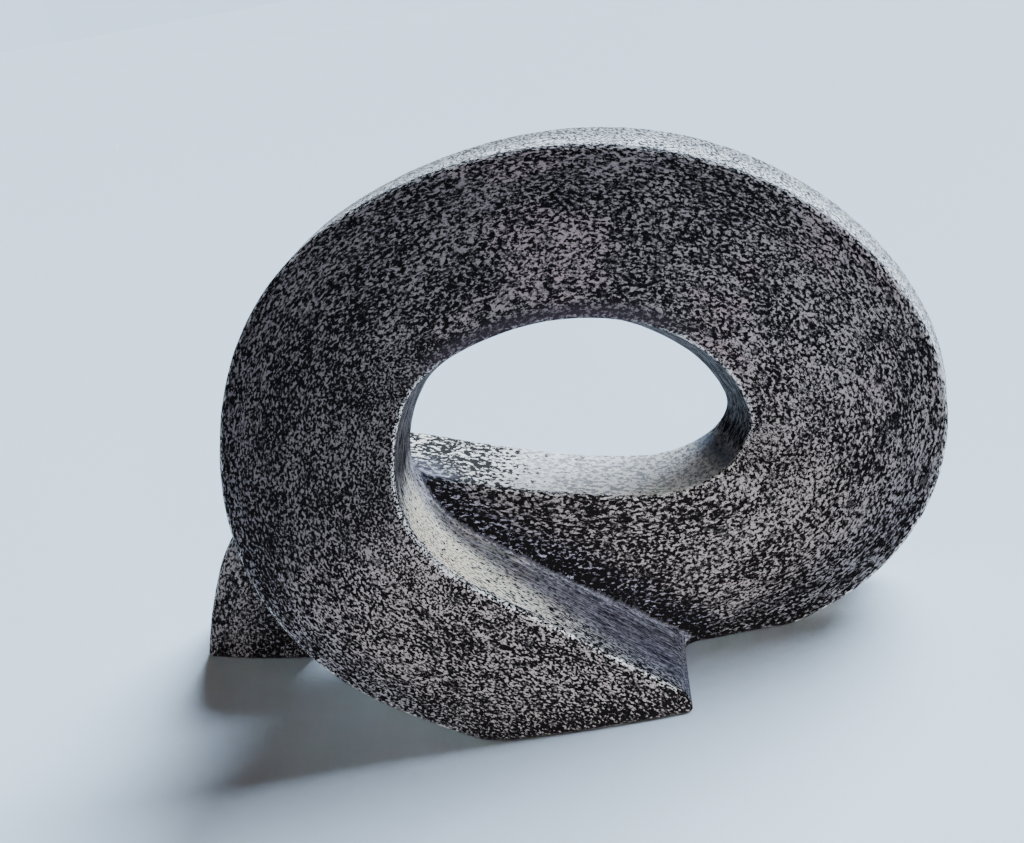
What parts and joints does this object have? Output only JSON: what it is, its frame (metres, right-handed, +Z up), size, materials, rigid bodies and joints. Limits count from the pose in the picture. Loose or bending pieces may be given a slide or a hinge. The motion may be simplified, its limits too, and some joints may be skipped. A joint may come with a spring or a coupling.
{
  "type": "abstract stone sculpture",
  "caption": "Tabletop abstract sculpture: a thick stone band that loops round one oval hole, its front arm crossing over its back arm, cut flat to stand on a surface.",
  "frame": {"origin": "under the middle of the bounding box, on the surface it stands on", "axes": "+Z up, +X to the right and -Y towards the viewer when the crossing arm is in front"},
  "size_m": [0.4518, 0.2046, 0.2877],
  "materials": {
    "speckled_stone": "near-black stone with a dry-brushed warm grey speckle, satin to matt"
  },
  "bodies": {
    "root": {"loop_sculpture": "speckled_stone"}
  },
  "joints": []
}
